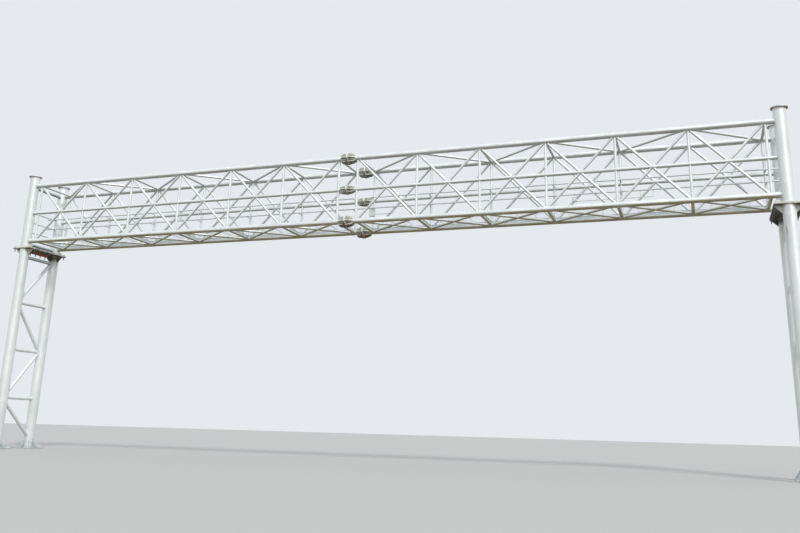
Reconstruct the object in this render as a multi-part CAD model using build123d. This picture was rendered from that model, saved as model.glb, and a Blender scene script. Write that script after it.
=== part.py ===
from build123d import *
import os
from math import cos, radians, sin

# Overhead gantry of steel tube: two braced towers carry a square-section lattice truss in two halves.
# X runs along the truss, -Y is the front, Z is up. The origin is on the ground at the middle of the plan.
# All lengths are millimetres.

# Plan of the truss
BAY = 1920
BAYS_PER_HALF = 6
SPLICE_TO_PANEL = 310
PANEL_TO_COLUMN = 370
TRUSS_DEPTH = 1450
TRUSS_HEIGHT = 2000
BOTTOM_CHORD_Z = 6970

# Tubes of the truss
CHORD_D = 159
MID_CHORD_D = 108
WEB_D = 76
FLOOR_STRUT_D = 89
CHORD_SIDES = 8
WEB_SIDES = 6

# Flanged splices at mid-span
SPLICE_D = 400
MID_SPLICE_D = 310
SPLICE_T = 25
SPLICE_RIB_CLEAR = 9
SPLICE_RIB_T = 12
SPLICE_RIB_EDGE = 10
SPLICE_RIB_LIP = 30
SPLICE_RIB_STEPS = 3
SPLICE_RIBS = 8
PLATE_SIDES = 32

# Columns and their caps
COLUMN_D = 325
COLUMN_TOP_Z = 9310
CAP_D = 440
CAP_T = 25

# Head plates, a bolted pair across both columns of a tower. Gussets stand under the lower one beside each
# column, and on the upper one under the bottom chords.
HEAD_JOINT_Z = 6720
HEAD_PLATE_W = 720
HEAD_PLATE_T = 30
HEAD_PLATE_LIP = 20
HEAD_RIB_T = 14
HEAD_RIB_EDGE = 25
HEAD_RIB_DROP = 210
HEAD_RIB_LIP = 40
FOOT_RIB_REACH = 125
FOOT_RIB_RISE = 120
FOOT_RIB_LIP = 80

# Base plates
BASE_SIDE = 700
BASE_T = 30
BASE_RIB_H = 300
BASE_RIB_T = 14
BASE_RIB_LIP = 40
BASE_RIB_EDGE = 20
BASE_CORNER_RIB_EDGE = 60
ANCHOR_CIRCLE_D = 600
ANCHOR_HOLES = 8
ANCHOR_HOLE_D = 36

# Tower bracing between the front and rear columns
TOWER_TUBE_D = 89
TOWER_STRUT_TOP_Z = 6420
TOWER_STRUT_PITCH = 1590
TOWER_STRUTS = 4
BRACE_SPREAD_FRONT = 290
BRACE_SPREAD_REAR = 45
BRACE_FOOT_Z = 460

# Ties between the upper columns
TIE_D = 114
TOP_TIE_BELOW_CHORD = 110
LOW_TIE_BELOW_CHORD = 85

# Haunched beam on edge under the head plates, and the packing blocks on both its sides
BEAM_T = 14
BEAM_H = 80
BEAM_HAUNCH = 170
BEAM_PADS = 3
PAD_L = 190
PAD_GAP = 60
PAD_H = 80
PAD_W = 70

# Walkway deck
DECK_EDGE_GAP = 20
DECK_T = 40
DECK_BAR = 40
DECK_RUNG = 20
DECK_RUNGS = 3
PANEL_GAP = 10

# Handrails, with heights above the deck
RAIL_D = 42
RAIL_SIDES = 8
RAIL_FROM_REAR_CHORD = 300
TOP_RAIL_H = 965
MID_RAIL_H = 615
END_RAIL_H = 275
RAIL_OVERHANG = 250
TOP_RAIL_FROM_MIDDLE = 280
BRACKET_W = 40
BRACKET_T = 8

# Sizes that follow from those above
HALF_DEPTH = TRUSS_DEPTH / 2
FLOOR_STRUT_CORNER = FLOOR_STRUT_D / 2 / cos(radians(180 / WEB_SIDES))
SPLICE_RIB_L = SPLICE_TO_PANEL - FLOOR_STRUT_CORNER - SPLICE_RIB_CLEAR - SPLICE_T
TOP_CHORD_Z = BOTTOM_CHORD_Z + TRUSS_HEIGHT
MID_CHORD_Z = BOTTOM_CHORD_Z + TRUSS_HEIGHT / 2
COLUMN_X = SPLICE_TO_PANEL + BAYS_PER_HALF * BAY + PANEL_TO_COLUMN
DECK_BOTTOM_Z = BOTTOM_CHORD_Z + FLOOR_STRUT_D / 2
DECK_TOP_Z = DECK_BOTTOM_Z + DECK_T
DECK_WIDTH = TRUSS_DEPTH - CHORD_D - 2 * DECK_EDGE_GAP
RAIL_Y = HALF_DEPTH - RAIL_FROM_REAR_CHORD
SIDES = {"left": -1, "right": 1}
FACES = {"front": -HALF_DEPTH, "rear": HALF_DEPTH}


def bar(start, end, diameter, sides=WEB_SIDES):
    """A straight prism of few sides between two points, measured across its flats.

    Two of its flats face up and down, or front and rear where it runs in an upright lengthwise face.
    """
    axis = Vector(*end) - Vector(*start)
    flat = Vector(0, 1, 0) if abs(axis.Y) < 1 else Vector(0, 0, 1)
    plane = Plane(origin=start, x_dir=flat.cross(axis), z_dir=axis)
    outline = RegularPolygon(diameter / 2, sides, major_radius=False, rotation=90 - 180 / sides)
    return extrude(plane * outline, axis.length)


def fused(pieces):
    """One shape from pieces that cross or meet."""
    return pieces[0].fuse(*pieces[1:]) if len(pieces) > 1 else pieces[0]


def tube_run(x, y, low, high):
    """A length of column tube between two heights."""
    return Pos(x, y, low) * Cylinder(
        COLUMN_D / 2, high - low, align=(Align.CENTER, Align.CENTER, Align.MIN))


def column_body(x, y):
    """The whole height of a column's tube, used to cope what meets it."""
    return tube_run(x, y, BASE_T, COLUMN_TOP_Z)


def round_plate(diameter, thickness):
    """A round plate with many flats that stands on the XY plane."""
    outline = RegularPolygon(diameter / 2, PLATE_SIDES, rotation=180 / PLATE_SIDES)
    return extrude(outline, thickness)


def panel_points(side):
    """The X places of one half's panel points, from left to right."""
    first = SPLICE_TO_PANEL if side > 0 else -SPLICE_TO_PANEL - BAYS_PER_HALF * BAY
    return [first + i * BAY for i in range(BAYS_PER_HALF + 1)]


def chord_bar(side, y, z, diameter):
    """A chord of one half, from the column's axis to the back of its splice flange."""
    return bar((side * COLUMN_X, y, z), (side * SPLICE_T, y, z), diameter, CHORD_SIDES)


def chord(side, y, z, diameter):
    """A chord of one half, its outer end coped to the column."""
    return chord_bar(side, y, z, diameter) - column_body(side * COLUMN_X, y)


def face_web(side, y):
    """Posts and crossed diagonals of one vertical face, coped to the three chords of that face."""
    points = panel_points(side)
    bars = [bar((x, y, BOTTOM_CHORD_Z), (x, y, TOP_CHORD_Z), WEB_D) for x in points]
    for left, right in zip(points, points[1:]):
        bars.append(bar((left, y, BOTTOM_CHORD_Z), (right, y, TOP_CHORD_Z), WEB_D))
        bars.append(bar((left, y, TOP_CHORD_Z), (right, y, BOTTOM_CHORD_Z), WEB_D))
    chords = [chord_bar(side, y, z, CHORD_D) for z in (BOTTOM_CHORD_Z, TOP_CHORD_Z)]
    chords.append(chord_bar(side, y, MID_CHORD_Z, MID_CHORD_D))
    return fused(bars).cut(*chords)


def top_bracing(side):
    """Struts across the top and one diagonal in each bay, which turns at every panel point."""
    points = panel_points(side)
    bars = [bar((x, -HALF_DEPTH, TOP_CHORD_Z), (x, HALF_DEPTH, TOP_CHORD_Z), WEB_D) for x in points]
    for i, (left, right) in enumerate(zip(points, points[1:])):
        y = HALF_DEPTH if i % 2 == 0 else -HALF_DEPTH
        bars.append(bar((left, y, TOP_CHORD_Z), (right, -y, TOP_CHORD_Z), WEB_D))
    return fused(bars).cut(*[chord_bar(side, y, TOP_CHORD_Z, CHORD_D) for y in FACES.values()])


def floor_bracing(side):
    """Struts across the bottom and crossed diagonals in each bay."""
    points = panel_points(side)
    z = BOTTOM_CHORD_Z
    bars = [bar((x, -HALF_DEPTH, z), (x, HALF_DEPTH, z), FLOOR_STRUT_D) for x in points]
    for left, right in zip(points, points[1:]):
        bars.append(bar((left, -HALF_DEPTH, z), (right, HALF_DEPTH, z), WEB_D))
        bars.append(bar((left, HALF_DEPTH, z), (right, -HALF_DEPTH, z), WEB_D))
    return fused(bars).cut(*[chord_bar(side, y, z, CHORD_D) for y in FACES.values()])


def rib_outline(tube_d, outer, height, lip, steps):
    """A gusset seen flat: full height at the tube's face, falling to a short lip at outer.

    One step gives a straight slope, more steps a belly that follows a quarter of an ellipse.
    """
    inner = tube_d / 2
    turns = [radians(90 * i / steps) for i in range(steps + 1)]
    slope = [(inner + (outer - inner) * cos(a), lip + (height - lip) * sin(a)) for a in turns]
    return Polyline((inner, 0), (outer, 0), *slope, close=True)


def radial_ribs(tube_d, outers, height, lip, thickness, steps=1):
    """Upright gussets round a tube on the Z axis, standing on z = 0, one for each value in outers."""
    ribs = []
    for i, outer in enumerate(outers):
        face = make_face(Plane.XZ * rib_outline(tube_d, outer, height, lip, steps))
        ribs.append(Rot(0, 0, i * 360 / len(outers)) * extrude(face, thickness / 2, both=True))
    return ribs


def splice_flange(side, y, z, flange_d, chord_d):
    """A round bolted flange on a chord's inner end, with bellied ribs that run out along the chord."""
    turn = Plane(origin=(0, y, z), x_dir=(0, 1, 0), z_dir=(side, 0, 0))
    plate = round_plate(flange_d, SPLICE_T)
    outer = flange_d / 2 - SPLICE_RIB_EDGE
    outers = [outer] * SPLICE_RIBS
    ribs = radial_ribs(chord_d, outers, SPLICE_RIB_L, SPLICE_RIB_LIP, SPLICE_RIB_T, SPLICE_RIB_STEPS)
    return turn * fused([plate] + [Pos(0, 0, SPLICE_T) * rib for rib in ribs])


def splice_set(side):
    """The six flanges of one half."""
    flanges = []
    for y in FACES.values():
        flanges.append(splice_flange(side, y, TOP_CHORD_Z, SPLICE_D, CHORD_D))
        flanges.append(splice_flange(side, y, MID_CHORD_Z, MID_SPLICE_D, MID_CHORD_D))
        flanges.append(splice_flange(side, y, BOTTOM_CHORD_Z, SPLICE_D, CHORD_D))
    return Compound(flanges)


def lower_column(x, y):
    """A column tube from its base plate to the head plate."""
    return tube_run(x, y, BASE_T, HEAD_JOINT_Z - HEAD_PLATE_T)


def upper_column(x, y):
    """A column tube from the head joint to above the top chord."""
    return tube_run(x, y, HEAD_JOINT_Z + HEAD_PLATE_T, COLUMN_TOP_Z)


def head_plate(x):
    """The plate across both columns of a tower, standing on the XY plane."""
    length = TRUSS_DEPTH + COLUMN_D + 2 * HEAD_PLATE_LIP
    align = (Align.CENTER, Align.CENTER, Align.MIN)
    return Pos(x, 0, 0) * Box(HEAD_PLATE_W, length, HEAD_PLATE_T, align=align)


def head_plate_pair(side):
    """A tower's head plate with gussets under it, and the truss's plate on it with its own."""
    x = side * COLUMN_X
    outer = HEAD_PLATE_W / 2 - HEAD_RIB_EDGE
    foot = COLUMN_D / 2 + FOOT_RIB_REACH
    under = radial_ribs(COLUMN_D, [outer, outer], HEAD_RIB_DROP, HEAD_RIB_LIP, HEAD_RIB_T)
    over = Rot(0, 0, 90 + side * 90) * radial_ribs(
        COLUMN_D, [foot], FOOT_RIB_RISE, FOOT_RIB_LIP, HEAD_RIB_T)[0]
    lower = [Pos(0, 0, HEAD_JOINT_Z - HEAD_PLATE_T) * head_plate(x)]
    upper = [Pos(0, 0, HEAD_JOINT_Z) * head_plate(x)]
    for y in FACES.values():
        lower += [Pos(x, y, HEAD_JOINT_Z - HEAD_PLATE_T) * Rot(180, 0, 0) * rib for rib in under]
        upper.append(Pos(x, y, HEAD_JOINT_Z + HEAD_PLATE_T) * over)
    return Compound([fused(lower), fused(upper)])


def base_plate(x, y):
    """A square base plate with eight gussets round the column and holes for its anchors."""
    plate = Box(BASE_SIDE, BASE_SIDE, BASE_T, align=(Align.CENTER, Align.CENTER, Align.MIN))
    straight = BASE_SIDE / 2 - BASE_RIB_EDGE
    corner = BASE_SIDE / 2 / cos(radians(45)) - BASE_CORNER_RIB_EDGE
    ribs = radial_ribs(COLUMN_D, [straight, corner] * 4, BASE_RIB_H, BASE_RIB_LIP, BASE_RIB_T)
    step = 360 / ANCHOR_HOLES
    holes = [Rot(0, 0, (i + 0.5) * step) * Pos(ANCHOR_CIRCLE_D / 2, 0, 0)
             * Cylinder(ANCHOR_HOLE_D / 2, 3 * BASE_T) for i in range(ANCHOR_HOLES)]
    shape = fused([plate] + [Pos(0, 0, BASE_T) * rib for rib in ribs])
    return Pos(x, y, 0) * shape.cut(*holes)


def tower_strut_levels():
    """The heights of a tower's struts, from the top down."""
    return [TOWER_STRUT_TOP_Z - i * TOWER_STRUT_PITCH for i in range(TOWER_STRUTS)]


def tower_bracing(x):
    """Struts and single diagonals that zigzag down between the two lower columns."""
    face_y = HALF_DEPTH - COLUMN_D / 2
    levels = tower_strut_levels()
    bars = [bar((x, -HALF_DEPTH, z), (x, HALF_DEPTH, z), TOWER_TUBE_D) for z in levels]
    for i, z in enumerate(levels):
        from_rear = i % 2 == 0
        start_drop = BRACE_SPREAD_REAR if from_rear else BRACE_SPREAD_FRONT
        end_rise = BRACE_SPREAD_FRONT if from_rear else BRACE_SPREAD_REAR
        end_z = levels[i + 1] + end_rise if i + 1 < len(levels) else BRACE_FOOT_Z
        start_y = face_y if from_rear else -face_y
        start = Vector(x, start_y, z - start_drop)
        end = Vector(x, -start_y, end_z)
        reach = (end - start).normalized() * (COLUMN_D / 2)
        bars.append(bar(tuple(start - reach), tuple(end + reach), TOWER_TUBE_D))
    return fused(bars).cut(column_body(x, -HALF_DEPTH), column_body(x, HALF_DEPTH))


def cross_tube(x, z, diameter, sides=WEB_SIDES):
    """A level tube from the front column to the rear one, coped to both."""
    tube = bar((x, -HALF_DEPTH, z), (x, HALF_DEPTH, z), diameter, sides)
    return tube.cut(column_body(x, -HALF_DEPTH), column_body(x, HALF_DEPTH))


def column_ties(x):
    """Two tubes between the upper columns, one a little below each pair of chords."""
    levels = (TOP_CHORD_Z - TOP_TIE_BELOW_CHORD, BOTTOM_CHORD_Z - LOW_TIE_BELOW_CHORD)
    return [cross_tube(x, z, TIE_D) for z in levels]


def head_beam(x):
    """A plate on edge under a tower's head plate, deeper at its ends, where it meets the columns."""
    top = HEAD_JOINT_Z - HEAD_PLATE_T
    end = HALF_DEPTH - COLUMN_D / 2
    bend = end - BEAM_HAUNCH
    outline = Polyline(
        (-end, 0), (end, 0), (end, -HEAD_RIB_DROP), (bend, -BEAM_H), (-bend, -BEAM_H),
        (-end, -HEAD_RIB_DROP), close=True)
    return Pos(x, 0, top) * extrude(make_face(Plane.YZ * outline), BEAM_T / 2, both=True)


def head_pads(x):
    """Packing blocks under the head plate, three on each side of its beam."""
    middle_z = HEAD_JOINT_Z - HEAD_PLATE_T - PAD_H / 2
    pads = []
    for hand in (-1, 1):
        for i in range(BEAM_PADS):
            y = (i - (BEAM_PADS - 1) / 2) * (PAD_L + PAD_GAP)
            pad_x = x + hand * (BEAM_T + PAD_W) / 2
            pads.append(Pos(pad_x, y, middle_z) * Box(PAD_W, PAD_L, PAD_H))
    return pads


def deck_panel(middle_x, length):
    """A flat grating panel: a frame with bars across the walkway."""
    align = (Align.CENTER, Align.CENTER, Align.MIN)
    panel = Box(length, DECK_WIDTH, DECK_T, align=align)
    pitch = (length - DECK_BAR - DECK_RUNG / 2) / (DECK_RUNGS + 1)
    slot = Box(pitch - DECK_RUNG, DECK_WIDTH - 2 * DECK_BAR, 3 * DECK_T)
    places = [(i - DECK_RUNGS / 2) * pitch for i in range(DECK_RUNGS + 1)]
    return Pos(middle_x, 0, DECK_BOTTOM_Z) * panel.cut(*[Pos(x, 0, 0) * slot for x in places])


def walkway_deck(side):
    """One panel to each bay, laid on the floor struts between the bottom chords."""
    points = panel_points(side)
    middles = [(left + right) / 2 for left, right in zip(points, points[1:])]
    return Compound([deck_panel(x, BAY - PANEL_GAP) for x in middles])


def rail_arm(x, z):
    """A flat arm from a rear post's inner face to the middle of a rail."""
    reach = HALF_DEPTH - WEB_D / 2 - RAIL_Y
    arm = Box(BRACKET_W, reach, BRACKET_T, align=(Align.CENTER, Align.MIN, Align.CENTER))
    return Pos(x, RAIL_Y, z) * arm


def handrail(side):
    """Two rails along the walkway on arms from the rear posts, and rails across its outer end."""
    end_x = side * COLUMN_X
    tip_x = side * (COLUMN_X + RAIL_OVERHANG)
    pieces = []
    for height, start in ((TOP_RAIL_H, TOP_RAIL_FROM_MIDDLE), (MID_RAIL_H, PANEL_GAP / 2)):
        z = DECK_TOP_Z + height
        pieces.append(bar((side * start, RAIL_Y, z), (tip_x, RAIL_Y, z), RAIL_D, RAIL_SIDES))
        pieces += [rail_arm(x, z) for x in panel_points(side)]
    for height in (TOP_RAIL_H, MID_RAIL_H, END_RAIL_H):
        pieces.append(cross_tube(end_x, DECK_TOP_Z + height, RAIL_D, RAIL_SIDES))
    return fused(pieces)


def gantry():
    """Every node of the gantry by name."""
    nodes = {}
    caps = []
    ties = []
    pads = []
    for hand, side in SIDES.items():
        x = side * COLUMN_X
        for face, y in FACES.items():
            nodes[f"{hand}_{face}_lower_column"] = lower_column(x, y)
            nodes[f"{hand}_{face}_upper_column"] = upper_column(x, y)
            nodes[f"{hand}_{face}_top_chord"] = chord(side, y, TOP_CHORD_Z, CHORD_D)
            nodes[f"{hand}_{face}_mid_chord"] = chord(side, y, MID_CHORD_Z, MID_CHORD_D)
            nodes[f"{hand}_{face}_bottom_chord"] = chord(side, y, BOTTOM_CHORD_Z, CHORD_D)
            nodes[f"{hand}_{face}_web"] = face_web(side, y)
            caps.append(Pos(x, y, COLUMN_TOP_Z) * round_plate(CAP_D, CAP_T))
        ties += column_ties(x)
        pads += head_pads(x)
        nodes[f"{hand}_base_plates"] = Compound([base_plate(x, y) for y in FACES.values()])
        nodes[f"{hand}_head_flanges"] = head_plate_pair(side)
        nodes[f"{hand}_tower_bracing"] = tower_bracing(x)
        nodes[f"{hand}_head_beams"] = head_beam(x)
        nodes[f"{hand}_top_bracing"] = top_bracing(side)
        nodes[f"{hand}_floor_bracing"] = floor_bracing(side)
        nodes[f"{hand}_splice_flanges"] = splice_set(side)
        nodes[f"{hand}_walkway_deck"] = walkway_deck(side)
        nodes[f"{hand}_handrail"] = handrail(side)
    nodes["column_caps"] = Compound(caps)
    nodes["column_ties"] = Compound(ties)
    nodes["head_packing_blocks"] = Compound(pads)
    return nodes


os.makedirs("parts", exist_ok=True)
for name, shape in gantry().items():
    export_step(shape, f"parts/{name}.step")
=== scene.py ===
"""Looks of the overhead gantry: round tubes, weld beads, bolts, grating and galvanised finishes."""

import logging
import math
from abc import ABC, abstractmethod
from dataclasses import dataclass, field, replace
from enum import Enum
from functools import cache
from typing import Iterable, Iterator, Sequence

import bpy
import numpy as np
from mathutils import Matrix, Vector


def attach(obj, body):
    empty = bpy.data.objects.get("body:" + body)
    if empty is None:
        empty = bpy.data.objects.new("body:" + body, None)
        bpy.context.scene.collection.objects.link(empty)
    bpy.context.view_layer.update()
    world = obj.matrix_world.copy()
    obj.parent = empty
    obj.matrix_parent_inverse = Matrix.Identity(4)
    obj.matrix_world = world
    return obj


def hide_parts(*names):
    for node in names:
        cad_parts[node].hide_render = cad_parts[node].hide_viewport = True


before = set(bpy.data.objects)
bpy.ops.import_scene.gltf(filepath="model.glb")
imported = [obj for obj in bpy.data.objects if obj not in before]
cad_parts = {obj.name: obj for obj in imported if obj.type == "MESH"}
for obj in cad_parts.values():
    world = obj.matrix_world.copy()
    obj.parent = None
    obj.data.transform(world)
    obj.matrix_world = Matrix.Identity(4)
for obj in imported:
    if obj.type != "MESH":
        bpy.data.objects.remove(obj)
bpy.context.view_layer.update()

LOG = logging.getLogger("gantry")
Array = np.ndarray
Colour = tuple[float, float, float]
Point = tuple[float, float, float]
Pieces = Iterator[bpy.types.Object]

X_AXIS, Y_AXIS, Z_AXIS = np.eye(3)
WAYS = (-1.0, 1.0)


class Side(Enum):
    """One of two sides, with its direction along an axis."""

    @property
    def label(self) -> str:
        """The side's name as the nodes have it."""
        return self.name.lower()


class Hand(Side):
    """The two halves of the gantry, with their direction along X."""

    LEFT = -1
    RIGHT = 1

    @property
    def x(self) -> float:
        """X of the half's columns."""
        return self.value * LAY.column_x


class Face(Side):
    """The two long faces of the truss, with their direction along Y."""

    FRONT = -1
    REAR = 1

    @property
    def y(self) -> float:
        """Y of the face's chords and columns."""
        return self.value * LAY.half_depth


@dataclass(frozen=True)
class Layout:
    """Driving sizes of the gantry in metres, in the frame of the solids."""

    bay: float = 1.92
    bays: int = 6
    splice_to_panel: float = 0.31
    panel_to_column: float = 0.37
    half_depth: float = 0.725
    bottom_z: float = 6.97
    mid_z: float = 7.97
    top_z: float = 8.97
    chord_r: float = 0.0795
    mid_r: float = 0.054
    web_r: float = 0.038
    strut_r: float = 0.0445
    column_r: float = 0.1625
    splice_t: float = 0.025
    deck_z: float = 7.0545
    rail_y: float = 0.425

    @property
    def column_x(self) -> float:
        """Distance of the column axes from mid-span."""
        return self.splice_to_panel + self.bays * self.bay + self.panel_to_column

    def points(self, hand: Hand) -> Array:
        """X places of one half's panel points, from mid-span outwards."""
        return hand.value * (self.splice_to_panel + self.bay * np.arange(self.bays + 1))


LAY = Layout()


# Meshes

SHARP_DEGREES = 35.0  # Edges that turn by more than this stay sharp.
NEARLY_Y = 0.9  # Share of Y from which a direction takes Z as its helper.
WELD_RINGS = np.array([-2.2, -1.0, -0.5, 0.0, 0.5, 1.0, 2.2])  # Rings round a weld, in reaches.
WELD_FADE = 1.6  # Reaches over which the near_weld value falls to 0.
SAME_RING = 1e-6  # Rings nearer than this share of the length are one.
BEAD_SIDES = 6
BLOCK_FACES = np.array([[0, 2, 3, 1], [4, 5, 7, 6], [0, 1, 5, 4], [2, 6, 7, 3], [0, 4, 6, 2],
                        [1, 3, 7, 5]])


@dataclass
class Shell:
    """Vertices and faces gathered from whole arrays, then made one mesh."""

    name: str
    points: list[Array] = field(default_factory=list)
    faces: list[Array] = field(default_factory=list)
    near: list[Array] = field(default_factory=list)
    count: int = 0

    def add(self, points: Array, faces: Iterable[Array], near: Array | None = None) -> None:
        """Adds one batch of points and the faces between them.

        Args:
            points: Array (..., 3), taken in order as rows of three.
            faces: Arrays (m, k) of indices into points.
            near: Per point, 1 at a weld and 0 away from one.
        """
        points = points.reshape(-1, 3)
        self.points.append(points)
        self.faces.extend(group + self.count for group in faces)
        self.near.append(np.zeros(len(points)) if near is None else near)
        self.count += len(points)

    def build(self, material: bpy.types.Material) -> bpy.types.Object:
        """Makes the mesh object at the origin.

        Args:
            material: Its finish.

        Returns:
            The new object, linked to the scene.
        """
        mesh = bpy.data.meshes.new(self.name)
        points = np.concatenate(self.points)
        totals = np.concatenate([np.full(len(g), g.shape[1]) for g in self.faces])
        corners = np.concatenate([g.ravel() for g in self.faces])
        starts = np.concatenate([[0], np.cumsum(totals)[:-1]])
        mesh.vertices.add(len(points))
        mesh.vertices.foreach_set("co", points.ravel())
        mesh.loops.add(len(corners))
        mesh.loops.foreach_set("vertex_index", corners.astype(np.int32))
        mesh.polygons.add(len(totals))
        mesh.polygons.foreach_set("loop_start", starts.astype(np.int32))
        mesh.polygons.foreach_set("loop_total", totals.astype(np.int32))
        mesh.polygons.foreach_set("use_smooth", np.ones(len(totals), dtype=bool))
        mesh.update(calc_edges=True)
        mesh.validate()
        mesh.set_sharp_from_angle(angle=math.radians(SHARP_DEGREES))
        layer = mesh.attributes.new("near_weld", "FLOAT", "POINT")
        layer.data.foreach_set("value", np.concatenate(self.near).astype(np.float32))
        mesh.materials.append(material)
        piece = bpy.data.objects.new(self.name, mesh)
        bpy.context.scene.collection.objects.link(piece)
        return piece


def unit(v: Array) -> Array:
    """Vectors along the last axis, divided by their length."""
    return v / np.linalg.norm(v, axis=-1, keepdims=True)


def rows(x: Array | float, y: Array | float, z: Array | float) -> Array:
    """Points (n, 3) from their coordinates, of which a single number serves every point."""
    return np.stack(np.broadcast_arrays(x, y, z), -1).astype(float)


def angles(count: int, offset: float = 0.0) -> Array:
    """Radians of count even steps round a circle: (i + offset) * 2 pi / count."""
    return (np.arange(count) + offset) * 2 * np.pi / count


def wheel(a: Array, u: Array, v: Array) -> Array:
    """Circles of radius 1: cos a * u + sin a * v, with the angles before the last axis."""
    return np.cos(a)[:, None] * u[..., None, :] + np.sin(a)[:, None] * v[..., None, :]


def cross_axes(along: Array) -> tuple[Array, Array]:
    """Two unit vectors square to each direction: helper x along, then along x the first.

    Args:
        along: Unit directions (n, 3).

    Returns:
        Two arrays (n, 3); with along they make a right-handed set.
    """
    helper = np.where(np.abs(along[:, 1:2]) < NEARLY_Y, Y_AXIS, Z_AXIS)
    first = unit(np.cross(helper, along))
    return first, np.cross(along, first)


def ring_faces(count: int, sides: int, closed: bool = False) -> Array:
    """Quads between rings that follow one another.

    Args:
        count: Number of rings.
        sides: Points in a ring.
        closed: Whether the last ring joins the first.

    Returns:
        Array (m, 4) with faces that look away from the axis when rings run along it.
    """
    r = np.arange(count if closed else count - 1)[:, None]
    c = np.arange(sides)[None, :]
    nr, nc = (r + 1) % count, (c + 1) % sides
    quads = [r * sides + c, r * sides + nc, nr * sides + nc, nr * sides + c]
    return np.stack(quads, -1).reshape(-1, 4)


def tube_faces(count: int, sides: int) -> list[Array]:
    """The quads between rings, and a cap on the first and on the last."""
    ring = np.arange(sides)[None]
    return [ring_faces(count, sides), ring[:, ::-1], (count - 1) * sides + ring]


def spread(faces: Array, number: int, stride: int) -> Array:
    """The same faces for each of several copies whose points follow one another."""
    return (faces[None] + (np.arange(number) * stride)[:, None, None]).reshape(-1, faces.shape[1])


def tubes(shell: Shell, starts: Array, ends: Array, radius: float, sides: int,
          welds: Sequence[float] = (0.0, 1.0), reach: float = 0.09) -> None:
    """Adds round bars: point = start + s * along + radius * (cos a * u + sin a * v).

    Rings stand closer together round each weld, and the near_weld value falls there from 1 to 0.

    Args:
        shell: Where they go.
        starts: Array (n, 3) of first ends.
        ends: Array (n, 3) of second ends.
        radius: Of the tubes.
        sides: Points in a ring.
        welds: Shares of the length where a weld sits.
        reach: Metres over which the rings crowd round a weld.
    """
    starts, ends = np.atleast_2d(starts).astype(float), np.atleast_2d(ends).astype(float)
    length = np.linalg.norm(ends - starts, axis=1)[:, None]
    along = (ends - starts) / length
    u, v = cross_axes(along)
    places = np.concatenate([w + WELD_RINGS * reach / length for w in welds]
                            + [length * 0, length * 0 + 1], axis=1)
    places = np.clip(np.sort(places, axis=1), 0, 1)
    away = np.min([np.abs(places - w) for w in welds], axis=0) * length
    value = np.clip(1 - away / (WELD_FADE * reach), 0, 1)
    keep = np.append(True, np.diff(places[0]) > SAME_RING)
    places, value = places[:, keep], value[:, keep]
    centre = starts[:, None] + (places * length)[..., None] * along[:, None]
    points = centre[:, :, None] + radius * wheel(angles(sides), u[:, None], v[:, None])
    count = places.shape[1]
    faces = [spread(group, len(length), count * sides) for group in tube_faces(count, sides)]
    shell.add(points, faces, np.repeat(value, sides))


def add_beads(shell: Shell, points: Array) -> None:
    """Adds closed beads, each a grid of points that meets itself both ways.

    Args:
        shell: Where they go.
        points: Array (n, sides, BEAD_SIDES, 3).
    """
    number, sides = points.shape[:2]
    faces = ring_faces(sides, BEAD_SIDES, closed=True)[:, ::-1]
    shell.add(points, [spread(faces, number, sides * BEAD_SIDES)], np.ones(points.size // 3))


def saddle_welds(shell: Shell, feet: Array, along: Array, radius: float, chord: Sequence[float],
                 chord_r: float, bead: float, sides: int) -> None:
    """Adds weld beads where tubes meet a round chord.

    A point of the seam is foot + radius * e(a) + s * along, with s from |radius * e + s * along|
    measured square to the chord's axis being chord_r. The bead is a small circle carried along it,
    its size rippled by a sine of the angle.

    Args:
        shell: Where they go.
        feet: Points (n, 3) where the tubes' axes meet the chord's.
        along: Directions (n, 3) of the tubes, away from the chord.
        radius: Of the tubes.
        chord: Unit direction (3,) of the chord.
        chord_r: Its radius.
        bead: Radius of the bead.
        sides: Points along the seam.
    """
    feet, along = np.atleast_2d(feet).astype(float), unit(np.atleast_2d(along).astype(float))
    a = angles(sides)
    e = wheel(a, *cross_axes(along))
    flat = np.eye(3) - np.outer(chord, chord)
    ep, dp = radius * e @ flat, (along @ flat)[:, None]
    dd, ed = np.sum(dp * dp, -1), np.sum(ep * dp, -1)
    root = np.sqrt(np.maximum(ed ** 2 - dd * (np.sum(ep * ep, -1) - chord_r ** 2), 0))
    seam = feet[:, None] + radius * e + ((root - ed) / dd)[..., None] * along[:, None]
    normal = unit((seam - feet[:, None]) @ flat)
    tangent = unit(np.roll(seam, -1, axis=1) - np.roll(seam, 1, axis=1))
    side = unit(np.cross(tangent, unit(normal + e)))
    ripple, waves = 0.12, 11
    size = bead * (1 + ripple * np.sin(waves * a))[None, :, None, None]
    circle = wheel(angles(BEAD_SIDES), np.cross(side, tangent), side)
    add_beads(shell, seam[:, :, None] + size * circle)


def ring_welds(shell: Shell, centres: Array, axis: Array, radius: float, bead: float,
               sides: int) -> None:
    """Adds round weld beads: point = centre + (radius + bead * cos b) * e(a) + bead * sin b * axis.

    Args:
        shell: Where they go.
        centres: Array (n, 3).
        axis: Unit direction (3,) of the ring's axis.
        radius: Of the seam.
        bead: Radius of the bead, rippled by a sine of the angle.
        sides: Points along the seam.
    """
    centres, a = np.atleast_2d(centres).astype(float), angles(sides)
    e = wheel(a, *cross_axes(axis[None]))[0]
    ripple, waves = 0.1, 17
    size = bead * (1 + ripple * np.sin(waves * a))[:, None, None]
    ring = radius * e[:, None] + size * wheel(angles(BEAD_SIDES), e, axis[None])
    add_beads(shell, centres[:, None, None] + ring[None])


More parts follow.
